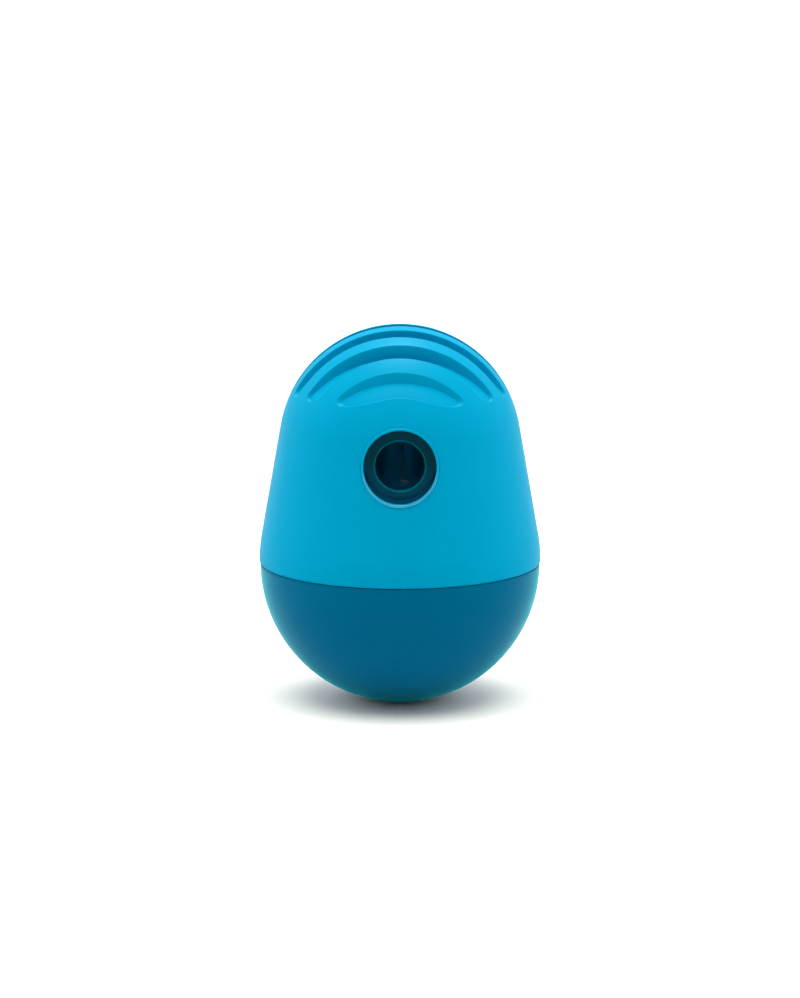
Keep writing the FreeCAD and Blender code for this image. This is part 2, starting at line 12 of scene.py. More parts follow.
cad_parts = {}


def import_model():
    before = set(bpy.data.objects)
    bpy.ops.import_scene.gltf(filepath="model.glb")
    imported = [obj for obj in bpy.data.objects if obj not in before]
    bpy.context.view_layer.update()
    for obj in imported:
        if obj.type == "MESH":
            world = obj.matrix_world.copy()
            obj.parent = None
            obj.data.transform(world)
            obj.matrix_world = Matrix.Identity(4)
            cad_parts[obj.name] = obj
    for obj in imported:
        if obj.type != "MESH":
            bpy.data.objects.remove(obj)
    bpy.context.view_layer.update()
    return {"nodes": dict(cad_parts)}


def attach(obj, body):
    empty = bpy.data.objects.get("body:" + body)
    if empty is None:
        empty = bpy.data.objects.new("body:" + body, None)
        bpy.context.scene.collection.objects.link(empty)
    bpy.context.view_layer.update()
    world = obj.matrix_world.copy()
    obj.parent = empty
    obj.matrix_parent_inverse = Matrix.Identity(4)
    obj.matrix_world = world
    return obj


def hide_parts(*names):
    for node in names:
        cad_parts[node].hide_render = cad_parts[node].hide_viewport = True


MM = 0.001
PHOTO_WIDTH = 800
PHOTO_HEIGHT = 998
LATHE_WELD = 0.002 * MM
COPY_WELD = 0.001 * MM
ON_SURFACE = 0.004 * MM
FAR_AWAY = 1.0
BEVEL_LIMIT = 35.0
SMOOTH_LIMIT = 40.0
BLACK = (0.0, 0.0, 0.0)
WHITE = (1.0, 1.0, 1.0)
ACROSS_BORE = (1.0, 0.0, 1.0)
HANDLED_RANGE = (0.3, 0.7)
LINES_RANGE = (0.25, 0.75)
SURFACE_INPUTS = {
    "Vector": "NodeSocketVector",
    "Light colour": "NodeSocketColor",
    "Deep colour": "NodeSocketColor",
    "Smoothest": "NodeSocketFloat",
    "Roughest": "NodeSocketFloat",
}
SURFACE_OUTPUTS = {"Colour": "NodeSocketColor", "Roughness": "NodeSocketFloat", "Height": "NodeSocketFloat"}

Point = tuple[float, float]
Place = tuple[float, float, float]
Colour = tuple[float, float, float]
Surface = Callable[[Vector], tuple[float, Vector]]
Feed = bpy.types.NodeSocket | float | Colour

log = logging.getLogger("sharpener")


class Body(Enum):
    """The two bodies that the pieces ride on."""

    BOWL = "bowl"
    CAP = "cap"


class Slot(Enum):
    """Material slots of the record."""

    CAP = "cap_plastic"
    BOWL = "bowl_plastic"
    INSERT = "insert_plastic"
    BLADE = "blade_steel"
    SCREW = "screw_steel"
    WEIGHT = "weight_steel"


class Marks(Enum):
    """Which way the tool marks of a steel surface run."""

    LENGTHWISE = (600.0, 12.0, 600.0)
    CROSSWISE = (14.0, 700.0, 700.0)
    FINE = (260.0, 260.0, 260.0)


def clear_selection() -> None:
    """Leave edit mode and deselect every object."""
    if bpy.context.object and bpy.context.object.mode != "OBJECT":
        bpy.ops.object.mode_set(mode="OBJECT")
    bpy.ops.object.select_all(action="DESELECT")


def pick(piece: bpy.types.Object) -> None:
    """Select one object alone and make it active.

    Args:
        piece: The object.
    """
    clear_selection()
    piece.select_set(True)
    bpy.context.view_layer.objects.active = piece


def join_pieces(whole: bpy.types.Object, *others: bpy.types.Object) -> None:
    """Join pieces into one.

    Args:
        whole: The piece that takes up the others.
        others: The pieces that it takes up.
    """
    pick(whole)
    for piece in others:
        piece.select_set(True)
    if others:
        bpy.ops.object.join()


def arc(centre: Point, radius: float, start: float, stop: float, steps: int) -> list[Point]:
    """Points along an arc of an outline.

    Args:
        centre: Radius and height of the arc's centre, in millimetres.
        radius: Radius of the arc, in millimetres.
        start: First angle above the horizontal, in degrees.
        stop: Last angle above the horizontal, in degrees.
        steps: Number of chords.

    Returns:
        The points from the first angle to the last.
    """
    angles = [math.radians(start + (stop - start) * step / steps) for step in range(steps + 1)]
    return [(centre[0] + radius * math.cos(a), centre[1] + radius * math.sin(a)) for a in angles]


def lathe(name: str, outline: list[Point], steps: int) -> bpy.types.Object:
    """Turn an outline round the upright axis.

    Args:
        name: Name of the new piece.
        outline: Radius and height of each corner, in millimetres, in order.
        steps: Number of facets round the axis.

    Returns:
        The turned piece, closed and facing outwards.
    """
    clear_selection()
    bpy.ops.mesh.primitive_plane_add(size=MM, location=(0.0, 0.0, 0.0))
    piece = bpy.context.object
    piece.name = name
    bpy.ops.object.mode_set(mode="EDIT")
    bpy.ops.mesh.select_all(action="SELECT")
    bpy.ops.mesh.merge(type="CENTER")
    before = (0.0, 0.0)
    for index, corner in enumerate(outline):
        move = ((corner[0] - before[0]) * MM, 0.0, (corner[1] - before[1]) * MM)
        if index == 0:
            bpy.ops.transform.translate(value=move)
        else:
            bpy.ops.mesh.extrude_region_move(TRANSFORM_OT_translate={"value": move})
        before = corner
    bpy.ops.mesh.select_all(action="SELECT")
    bpy.ops.mesh.spin(steps=steps, angle=math.tau, center=(0.0, 0.0, 0.0), axis=(0.0, 0.0, 1.0))
    bpy.ops.mesh.select_all(action="SELECT")
    bpy.ops.mesh.remove_doubles(threshold=LATHE_WELD)
    bpy.ops.mesh.normals_make_consistent(inside=False)
    bpy.ops.object.mode_set(mode="OBJECT")
    return piece


def soften_edges(piece: bpy.types.Object, width: float, segments: int = 3) -> None:
    """Round the sharp edges of a piece.

    Args:
        piece: The piece to change.
        width: Width of the rounding, in millimetres.
        segments: Number of facets across the rounding.
    """
    pick(piece)
    bpy.ops.object.modifier_add(type="BEVEL")
    bevel = piece.modifiers[-1]
    bevel.width = width * MM
    bevel.segments = segments
    bevel.limit_method = "ANGLE"
    bevel.angle_limit = math.radians(BEVEL_LIMIT)
    bpy.ops.object.modifier_apply(modifier=bevel.name)


def smooth(piece: bpy.types.Object, angle: float = SMOOTH_LIMIT) -> None:
    """Shade a piece smooth, except over its sharp edges.

    Args:
        piece: The piece to change.
        angle: Angle past which an edge is sharp, in degrees.
    """
    pick(piece)
    bpy.ops.object.shade_smooth_by_angle(angle=math.radians(angle))


def welded_copy(node: bpy.types.Object, name: str) -> bpy.types.Object:
    """Copy a solid's surface, join its loose triangles and shade it smooth.

    Args:
        node: The solid that is copied.
        name: Name of the new piece.

    Returns:
        The copy, in the same place.
    """
    clear_selection()
    piece = bpy.data.objects.new(name, node.data.copy())
    bpy.context.scene.collection.objects.link(piece)
    pick(piece)
    bpy.ops.object.mode_set(mode="EDIT")
    bpy.ops.mesh.select_all(action="SELECT")
    bpy.ops.mesh.remove_doubles(threshold=COPY_WELD)
    bpy.ops.object.mode_set(mode="OBJECT")
    smooth(piece)
    return piece


def true_normals(piece: bpy.types.Object, surfaces: list[Surface], spread: float = 50.0) -> None:
    """Give the corners of a piece the exact normals of the surfaces that they lie on.

    Args:
        piece: The piece to change, already shaded smooth.
        surfaces: Functions that give a point's distance from a surface and the normal there, in metres.
        spread: Most that a face may lean away from the surface, in degrees.
    """
    mesh = piece.data
    least = math.cos(math.radians(spread))
    on_surface = []
    for vertex in mesh.vertices:
        found = [surface(vertex.co) for surface in surfaces]
        on_surface.append([normal for distance, normal in found if abs(distance) < ON_SURFACE])
    normals = [corner.vector.copy() for corner in mesh.corner_normals]
    for face in mesh.polygons:
        for corner in face.loop_indices:
            choices = on_surface[mesh.loops[corner].vertex_index]
            best = max(choices, key=face.normal.dot, default=None)
            if best is not None and face.normal.dot(best) > least:
                normals[corner] = best
    mesh.normals_split_custom_set(normals)


def dress(piece: bpy.types.Object, material: bpy.types.Material) -> None:
    """Give a piece one material all over.

    Args:
        piece: The piece to change.
        material: Its material.
    """
    piece.data.materials.clear()
    piece.data.materials.append(material)


def install(piece: bpy.types.Object, body: Body, slot: Slot, *nodes: str) -> None:
    """Let a finished piece stand for solids and move with their body.

    Args:
        piece: The finished piece.
        body: Body that it moves with.
        slot: Material slot of the piece's finish; not used.
        nodes: Solids that it stands for.
    """
    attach(piece, body.value)
    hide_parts(*nodes)
    log.info("%s: %d faces, for %s", piece.name, len(piece.data.polygons), ", ".join(nodes))


class NodeBoard:
    """Small helper that adds nodes to a node tree and joins them."""

    def __init__(self, tree: bpy.types.NodeTree) -> None:
        """Keep the tree that the nodes go into."""
        self.tree = tree

    def add(self, kind: str, **values: object) -> bpy.types.Node:
        """Add a node and set its properties.

        Args:
            kind: Node type.
            values: Properties of the node, by name.

        Returns:
            The new node.
        """
        node = self.tree.nodes.new(kind)
        for name, value in values.items():
            setattr(node, name, value)
        return node

    def set(self, node: bpy.types.Node, **inputs: object) -> None:
        """Set unlinked inputs.

        Args:
            node: The node to change.
            inputs: Values by the input's name, in which an underscore stands for a space.
        """
        for name, value in inputs.items():
            node.inputs[name.replace("_", " ")].default_value = value

    def join(self, source: bpy.types.NodeSocket, target: bpy.types.NodeSocket) -> None:
        """Link an output to an input."""
        self.tree.links.new(source, target)

    def feed(self, value: Feed, target: bpy.types.NodeSocket) -> None:
        """Give an input a value, by a link where the value comes from a socket.

        Args:
            value: A socket, a number or a colour.
            target: The input.
        """
        if isinstance(value, bpy.types.NodeSocket):
            self.join(value, target)
        elif isinstance(value, tuple):
            target.default_value = (*value, 1.0)
        else:
            target.default_value = value

    def calculate(self, operation: str, *values: Feed) -> bpy.types.NodeSocket:
        """Work out a number.

        Args:
            operation: What the math node does.
            values: Its inputs, in order.

        Returns:
            A socket that gives the number.
        """
        node = self.add("ShaderNodeMath", operation=operation)
        for value, target in zip(values, node.inputs):
            self.feed(value, target)
        return node.outputs["Value"]

    def remap(
        self, value: bpy.types.NodeSocket, given: Point, wanted: tuple[Feed, Feed], soft: bool = True
    ) -> bpy.types.NodeSocket:
        """Carry a number from one range to another.

        Args:
            value: Socket that gives the number.
            given: Ends of its range.
            wanted: Ends of the new range.
            soft: Whether the number eases in and out.

        Returns:
            A socket that gives the new number.
        """
        node = self.add("ShaderNodeMapRange", interpolation_type="SMOOTHSTEP" if soft else "LINEAR")
        self.set(node, From_Min=given[0], From_Max=given[1])
        self.join(value, node.inputs["Value"])
        self.feed(wanted[0], node.inputs["To Min"])
        self.feed(wanted[1], node.inputs["To Max"])
        return node.outputs["Result"]

    def mix(self, share: bpy.types.NodeSocket, first: Feed, second: Feed) -> bpy.types.NodeSocket:
        """Mix two colours.

        Args:
            share: Socket that gives the second colour's share.
            first: First colour.
            second: Second colour.

        Returns:
            A socket that gives the mixed colour.
        """
        node = self.add("ShaderNodeMix", data_type="RGBA")
        inputs = {socket.identifier: socket for socket in node.inputs}
        self.feed(share, inputs["Factor_Float"])
        self.feed(first, inputs["A_Color"])
        self.feed(second, inputs["B_Color"])
        return next(socket for socket in node.outputs if socket.identifier == "Result_Color")

    def noise(
        self, place: bpy.types.NodeSocket, scale: Feed, detail: float, roughness: float
    ) -> bpy.types.NodeSocket:
        """Spread noise over a surface.

        Args:
            place: Socket that gives the place on the surface.
            scale: Scale of the noise.
            detail: How many finer layers it has.
            roughness: How strong the finer layers are.

        Returns:
            A socket that gives the noise.
        """
        node = self.add("ShaderNodeTexNoise")
        self.set(node, Detail=detail, Roughness=roughness)
        self.feed(scale, node.inputs["Scale"])
        self.join(place, node.inputs["Vector"])
        return node.outputs["Fac"]

    def split(self, vector: bpy.types.NodeSocket) -> dict[str, bpy.types.NodeSocket]:
        """Take a vector apart.

        Args:
            vector: Socket that gives the vector.

        Returns:
            Sockets that give its parts, by axis.
        """
        node = self.add("ShaderNodeSeparateXYZ")
        self.join(vector, node.inputs["Vector"])
        return {axis: node.outputs[axis] for axis in "XYZ"}


def new_surface_group(name: str, inputs: dict[str, str]) -> bpy.types.NodeTree:
    """Make an empty shader node group that puts out colour, roughness and height.

    Args:
        name: Name of the group.
        inputs: Socket types of its inputs, by name.

    Returns:
        The group, with its input and output nodes in place.
    """
    group = bpy.data.node_groups.new(name, "ShaderNodeTree")
    for in_out, sockets in (("INPUT", inputs), ("OUTPUT", SURFACE_OUTPUTS)):
        for socket, kind in sockets.items():
            group.interface.new_socket(name=socket, in_out=in_out, socket_type=kind)
    group.nodes.new("NodeGroupInput")
    group.nodes.new("NodeGroupOutput")
    return group


def moulded_grain_group() -> bpy.types.NodeTree:
    """Fine spark-eroded grain, faint flow mottling and uneven gloss of moulded plastic.

    Returns:
        A group with colour, roughness and height outputs.
    """
    group = new_surface_group("moulded_grain", SURFACE_INPUTS | {"Grain scale": "NodeSocketFloat"})
    board = NodeBoard(group)
    given = group.nodes["Group Input"].outputs
    result = group.nodes["Group Output"].inputs
    mottle = board.noise(given["Vector"], scale=160.0, detail=4.0, roughness=0.55)
    board.join(board.mix(mottle, given["Deep colour"], given["Light colour"]), result["Colour"])
    handled = board.noise(given["Vector"], scale=420.0, detail=6.0, roughness=0.6)
    gloss = board.remap(handled, HANDLED_RANGE, (given["Smoothest"], given["Roughest"]))
    board.join(gloss, result["Roughness"])
    grain = board.noise(given["Vector"], scale=given["Grain scale"], detail=2.0, roughness=0.5)
    board.join(grain, result["Height"])
    return group


def tool_marks_group() -> bpy.types.NodeTree:
    """Fine lines that grinding, plating or turning leaves on steel.

    Returns:
        A group with colour, roughness and height outputs.
    """
    group = new_surface_group("tool_marks", SURFACE_INPUTS)
    board = NodeBoard(group)
    given = group.nodes["Group Input"].outputs
    result = group.nodes["Group Output"].inputs
    lines = board.noise(given["Vector"], scale=9.0, detail=5.0, roughness=0.65)
    board.join(board.mix(lines, given["Deep colour"], given["Light colour"]), result["Colour"])
    gloss = board.remap(lines, LINES_RANGE, (given["Smoothest"], given["Roughest"]), soft=False)
    board.join(gloss, result["Roughness"])
    board.join(lines, result["Height"])
    return group


def blank_material(name: str) -> tuple[bpy.types.Material, NodeBoard, bpy.types.Node]:
    """Make a material that holds only a principled shader.

    Args:
        name: Name of the material.

    Returns:
        The material, a board on its tree and its shader.
    """
    material = bpy.data.materials.new(name)
    material.use_nodes = True
    board = NodeBoard(material.node_tree)
    return material, board, material.node_tree.nodes["Principled BSDF"]


def wire_surface(
    board: NodeBoard, group: bpy.types.Node, shader: bpy.types.Node, strength: float, depth: float
) -> None:
    """Lead a group's outputs to a shader.

    Args:
        board: Board of the material.
        group: Node that holds the group.
        shader: Principled shader of the material.
        strength: Strength of the bump.
        depth: Depth of the bump, in millimetres.
    """
    bump = board.add("ShaderNodeBump")
    board.set(bump, Strength=strength, Distance=depth * MM)
    board.join(group.outputs["Height"], bump.inputs["Height"])
    board.join(group.outputs["Colour"], shader.inputs["Base Color"])
    board.join(group.outputs["Roughness"], shader.inputs["Roughness"])
    board.join(bump.outputs["Normal"], shader.inputs["Normal"])


def bore_distance(board: NodeBoard, place: bpy.types.NodeSocket, height: float) -> bpy.types.NodeSocket:
    """Measure how far a place is from the pencil bore's axis, which runs along Y.

    Args:
        board: Board of the material.
        place: Socket that gives the place on the piece.
        height: Height of the axis, in millimetres.

    Returns:
        A socket that gives the distance in metres.
    """
    across = board.add("ShaderNodeMapping", vector_type="TEXTURE")
    board.set(across, Location=(0.0, 0.0, height * MM))
    board.join(place, across.inputs["Vector"])
    flat = board.add("ShaderNodeVectorMath", operation="MULTIPLY")
    flat.inputs[1].default_value = ACROSS_BORE
    board.join(across.outputs["Vector"], flat.inputs[0])
    radius = board.add("ShaderNodeVectorMath", operation="LENGTH")
    board.join(flat.outputs["Vector"], radius.inputs[0])
    return radius.outputs["Value"]


@dataclass(frozen=True)
class PlasticFinish:
    """Satin moulded plastic.

    Colours are linear; tint is the colour of its reflections seen straight on.
    """

    name: str
    light: Colour
    deep: Colour
    tint: Colour
    smoothest: float
    roughest: float
    specular: float
    sheen: float = 0.0
    sheen_tint: Colour = (0.0, 0.85, 1.0)
    sheen_roughness: float = 0.3
    grain_scale: float = 5200.0
    grain_depth: float = 0.02
    grain_strength: float = 0.03
    ior: float = 1.5

    def build(self, grain: bpy.types.NodeTree) -> bpy.types.Material:
        """Make the material.

        Args:
            grain: Node group of moulded grain.

        Returns:
            The material.
        """
        material, board, shader = blank_material(self.name)
        place = board.add("ShaderNodeTexCoord")
        surface = board.add("ShaderNodeGroup", node_tree=grain)
        board.join(place.outputs["Object"], surface.inputs["Vector"])
        board.set(
            surface,
            Light_colour=(*self.light, 1.0),
            Deep_colour=(*self.deep, 1.0),
            Smoothest=self.smoothest,
            Roughest=self.roughest,
            Grain_scale=self.grain_scale,
        )
        wire_surface(board, surface, shader, self.grain_strength, self.grain_depth)
        board.set(shader, IOR=self.ior, Specular_IOR_Level=self.specular, Specular_Tint=(*self.tint, 1.0))
        board.set(shader, Sheen_Weight=self.sheen, Sheen_Tint=(*self.sheen_tint, 1.0))
        board.set(shader, Sheen_Roughness=self.sheen_roughness)
        return material


@dataclass(frozen=True)
class CapFinish(PlasticFinish):
    """Moulded plastic whose lip at the foot of the pencil port is rubbed glossy by pencils.

    Lengths are in millimetres.
    """

    lip_radius: float = 6.25
    lip_reach: float = 0.32
    lip_height: float = 43.5022
    lip_drop: float = 2.5
    lip_gloss: float = 0.8
    lip_roughness: float = 0.18

    def build(self, grain: bpy.types.NodeTree) -> bpy.types.Material:
        """Make the material.

        Args:
            grain: Node group of moulded grain.

        Returns:
            The material.
        """
        material = super().build(grain)
        board = NodeBoard(material.node_tree)
        shader = material.node_tree.nodes["Principled BSDF"]
        place = board.add("ShaderNodeTexCoord").outputs["Object"]
        parts = board.split(place)
        distance = bore_distance(board, place, self.lip_height)
        near = board.calculate("COMPARE", distance, self.lip_radius * MM, self.lip_reach * MM)
        front = board.calculate("LESS_THAN", parts["Y"], 0.0)
        heights = self.lip_height * MM, (self.lip_height - self.lip_drop) * MM
        worn = board.remap(parts["Z"], heights, (0.0, self.lip_gloss))
        lip = board.calculate("MULTIPLY", near, front)
        board.join(board.calculate("MULTIPLY", lip, worn), shader.inputs["Coat Weight"])
        board.set(shader, Coat_Roughness=self.lip_roughness)
        return material


@dataclass(frozen=True)
class InsertFinish(PlasticFinish):
    """Moulded plastic with painted light: emission gives its pencil bore a faint painted glow, paler deeper
    in and along a middle band, and the ring round the bore has painted shade and a painted highlight.

    Lengths are in millimetres; the bore runs along Y.
    """

    # painted glow: emission colour that stands in for light inside the bore
    painted_bore_glow: Colour = (0.0, 0.014, 0.028)
    # painted highlight: a paler colour on the chamfer round the bore's mouth
    painted_edge_highlight: Colour = (0.0, 0.14, 0.2)
    highlight_radius: float = 4.36
    highlight_depth: float = -18.93
    # painted shade and light on the ring: the colour is scaled up at the ring's foot and down towards its
    # top
    ring_foot: float = -5.6
    ring_plain_from: float = 1.0
    ring_shade_top: float = 0.55
    ring_light_foot: float = 2.1
    bore_radius: float = 4.15
    bore_height: float = 43.5022
    # where the painted glow in the bore starts and where it is full, and the width of its paler middle band
    glow_start: float = -18.5
    glow_full: float = -13.0
    glow_band_full: float = 0.6
    glow_band_gone: float = 3.6
    glow_band_least: float = 0.15

    def build(self, grain: bpy.types.NodeTree) -> bpy.types.Material:
        """Make the material.

        Args:
            grain: Node group of moulded grain.

        Returns:
            The material.
        """
        material = super().build(grain)
        board = NodeBoard(material.node_tree)
        shader = material.node_tree.nodes["Principled BSDF"]
        place = board.add("ShaderNodeTexCoord").outputs["Object"]
        parts = board.split(place)
        radius = bore_distance(board, place, self.bore_height)
        # Painted shade and a painted highlight on the ring round the bore.
        self.paint_ring_shade(board, shader, radius, parts)
        # Painted light: the bore glows by emission, more strongly deeper in and along a band down its
        # middle.
        within = board.calculate("LESS_THAN", radius, self.bore_radius * MM)
        deep = board.remap(parts["Y"], (self.glow_start * MM, self.glow_full * MM), (0.0, 1.0))
        aside = board.calculate("ABSOLUTE", parts["X"])
        glow_band = board.remap(aside, (self.glow_band_gone * MM, self.glow_band_full * MM), (self.glow_band_least, 1.0))
        inside = board.calculate("MULTIPLY", within, deep)
        share = board.calculate("MULTIPLY", inside, glow_band)
        board.join(board.mix(share, BLACK, self.painted_bore_glow), shader.inputs["Emission Color"])
        board.set(shader, Emission_Strength=1.0)
        return material

    def paint_ring_shade(
        self,
        board: NodeBoard,
        shader: bpy.types.Node,
        radius: bpy.types.NodeSocket,
        parts: dict[str, bpy.types.NodeSocket],
    ) -> None:
        """Paint light and shade onto the insert's colour: lighter towards the foot of the ring round the
        bore and darker towards its top, as painted shade under the port's lip, and a painted highlight on
        the inner edge of the bore's mouth.

        Args:
            board: Board of the material.
            shader: Principled shader of the material.
            radius: Distance from the bore's axis.
            parts: Coordinates of the place, by axis.
        """
        plain = shader.inputs["Base Color"].links[0].from_socket
        heights = (self.bore_height + self.ring_foot) * MM, (self.bore_height + self.ring_plain_from) * MM
        level = board.remap(parts["Z"], heights, (self.ring_light_foot, self.ring_shade_top), soft=False)
        ring = board.add("ShaderNodeVectorMath", operation="SCALE")
        board.join(plain, ring.inputs["Vector"])
        board.join(level, ring.inputs["Scale"])
        # Painted highlight: the chamfer round the bore's mouth is given a paler colour.
        inner = board.calculate("LESS_THAN", radius, self.highlight_radius * MM)
        front = board.calculate("LESS_THAN", parts["Y"], self.highlight_depth * MM)
        edge = board.calculate("MULTIPLY", inner, front)
        tone = board.mix(edge, ring.outputs["Vector"], self.painted_edge_highlight)
        board.join(tone, shader.inputs["Base Color"])


@dataclass(frozen=True)
class SteelFinish:
    """Bare or plated steel with tool marks."""

    name: str
    light: Colour
    deep: Colour
    smoothest: float
    roughest: float
    marks: Marks
    mark_depth: float = 0.004
    mark_strength: float = 0.4

    def build(self, lines: bpy.types.NodeTree) -> bpy.types.Material:
        """Make the material.

        Args:
            lines: Node group of tool marks.

        Returns:
            The material.
        """
        material, board, shader = blank_material(self.name)
        place = board.add("ShaderNodeTexCoord")
        stretch = board.add("ShaderNodeMapping")
        board.set(stretch, Scale=self.marks.value)
        board.join(place.outputs["Object"], stretch.inputs["Vector"])
        surface = board.add("ShaderNodeGroup", node_tree=lines)
        board.join(stretch.outputs["Vector"], surface.inputs["Vector"])
        board.set(
            surface,
            Light_colour=(*self.light, 1.0),
            Deep_colour=(*self.deep, 1.0),
            Smoothest=self.smoothest,
            Roughest=self.roughest,
        )
        wire_surface(board, surface, shader, self.mark_strength, self.mark_depth)
        board.set(shader, Metallic=1.0)
        return material


@dataclass(frozen=True)
class Finishes:
    """Every finish of the sharpener."""

    cap: CapFinish = CapFinish(
        name="cyan_satin_plastic",
        light=(0.0, 0.327, 0.585),
        deep=(0.0, 0.312, 0.56),
        tint=(0.0, 0.75, 1.0),
        smoothest=0.4,
        roughest=0.46,
        specular=0.015,
        sheen=0.03,
    )
    bowl: PlasticFinish = PlasticFinish(
        name="teal_satin_plastic",
        light=(0.0, 0.13, 0.276),
        deep=(0.0, 0.121, 0.26),
        tint=(0.0, 0.6, 1.0),
        smoothest=0.36,
        roughest=0.42,
        specular=0.025,
        sheen=0.7,
        sheen_tint=(0.0, 0.95, 1.0),
    )
    insert: InsertFinish = InsertFinish(
        name="dark_teal_plastic",
        light=(0.0, 0.028, 0.064),
        deep=(0.0, 0.025, 0.058),
        tint=(0.1, 0.9, 1.0),
        smoothest=0.2,
        roughest=0.26,
        specular=0.15,
    )
    blade: SteelFinish = SteelFinish(
        name="ground_blade_steel",
        light=(0.66, 0.67, 0.69),
        deep=(0.5, 0.51, 0.53),
        smoothest=0.36,
        roughest=0.5,
        marks=Marks.CROSSWISE,
    )
    screw: SteelFinish = SteelFinish(
        name="zinc_plated_steel",
        light=(0.44, 0.44, 0.43),
        deep=(0.33, 0.335, 0.34),
        smoothest=0.24,
        roughest=0.4,
        marks=Marks.FINE,
    )
    weight: SteelFinish = SteelFinish(
        name="turned_weight_steel",
        light=(0.36, 0.36, 0.37),
        deep=(0.26, 0.26, 0.27),
        smoothest=0.34,
        roughest=0.5,
        marks=Marks.LENGTHWISE,
    )

    def build(self) -> dict[Slot, bpy.types.Material]:
        """Make all materials.

        Returns:
            The materials, by slot.
        """
        grain = moulded_grain_group()
        lines = tool_marks_group()
        return {
            Slot.CAP: self.cap.build(grain),
            Slot.BOWL: self.bowl.build(grain),
            Slot.INSERT: self.insert.build(grain),
            Slot.BLADE: self.blade.build(lines),
            Slot.SCREW: self.screw.build(lines),
            Slot.WEIGHT: self.weight.build(lines),
        }


@dataclass(frozen=True)
class Screw:
    """Pan-head screw with a cross recess, in millimetres; its head stands on the origin."""

    shank: float
    reach: float
    head: float
    head_height: float
    point: float = 0.5
    thread_pitch: float = 0.6
    thread_depth: float = 0.16
    head_round: float = 0.35
    round_steps: int = 6
    neck: float = 0.05
    recess_arm: float = 1.3
    recess_width: float = 0.5
    recess_depth: float = 0.7
    facets: int = 72
    smooth_limit: float = 32.0

    def outline(self) -> list[Point]:
        """Draw the turned outline, from the point up to the head.

        Returns:
            Radius and height of its corners.
        """
        points = [(0.0, -self.reach), (self.shank - self.thread_depth, self.point - self.reach)]
        turns = int((self.reach - self.point) / self.thread_pitch)
        for turn in range(turns):
            low = self.point - self.reach + turn * self.thread_pitch
            points.append((self.shank, low + self.thread_pitch / 2))
            points.append((self.shank - self.thread_depth, low + self.thread_pitch))
        points += [(self.shank, -self.neck), (self.shank, 0.0), (self.head, 0.0)]
        middle = (self.head - self.head_round, self.head_height - self.head_round)
        points += arc(middle, self.head_round, 0.0, 90.0, self.round_steps)
        points.append((0.0, self.head_height))
        return points

    def cut_recess(self, piece: bpy.types.Object) -> None:
        """Cut the cross into the head.

        Args:
            piece: The turned screw.
        """
        clear_selection()
        sides = (self.recess_arm * 2, self.recess_width)
        arms = []
        for across, along in (sides, sides[::-1]):
            bpy.ops.mesh.primitive_cube_add(size=MM, location=(0.0, 0.0, self.head_height * MM))
            arm = bpy.context.object
            bpy.ops.transform.resize(value=(across, along, self.recess_depth * 2))
            bpy.ops.object.transform_apply(location=True, rotation=True, scale=True)
            arms.append(arm)
        for arm in arms:
            pick(piece)
            bpy.ops.object.modifier_add(type="BOOLEAN")
            cut = piece.modifiers[-1]
            cut.operation = "DIFFERENCE"
            cut.solver = "EXACT"
            cut.object = arm
            bpy.ops.object.modifier_apply(modifier=cut.name)
        for arm in arms:
            bpy.data.objects.remove(arm)

    def build(self, name: str, places: list[Matrix]) -> bpy.types.Object:
        """Make one piece that holds a screw at each place.

        Args:
            name: Name of the piece.
            places: Where each screw goes, in metres.

        Returns:
            The piece.
        """
        first = lathe(name, self.outline(), self.facets)
        self.cut_recess(first)
        copies = [first]
        for _ in places[1:]:
            twin = bpy.data.objects.new(name, first.data.copy())
            bpy.context.scene.collection.objects.link(twin)
            copies.append(twin)
        for screw, place in zip(copies, places):
            screw.data.transform(place)
        join_pieces(*copies)
        smooth(first, self.smooth_limit)
        return first


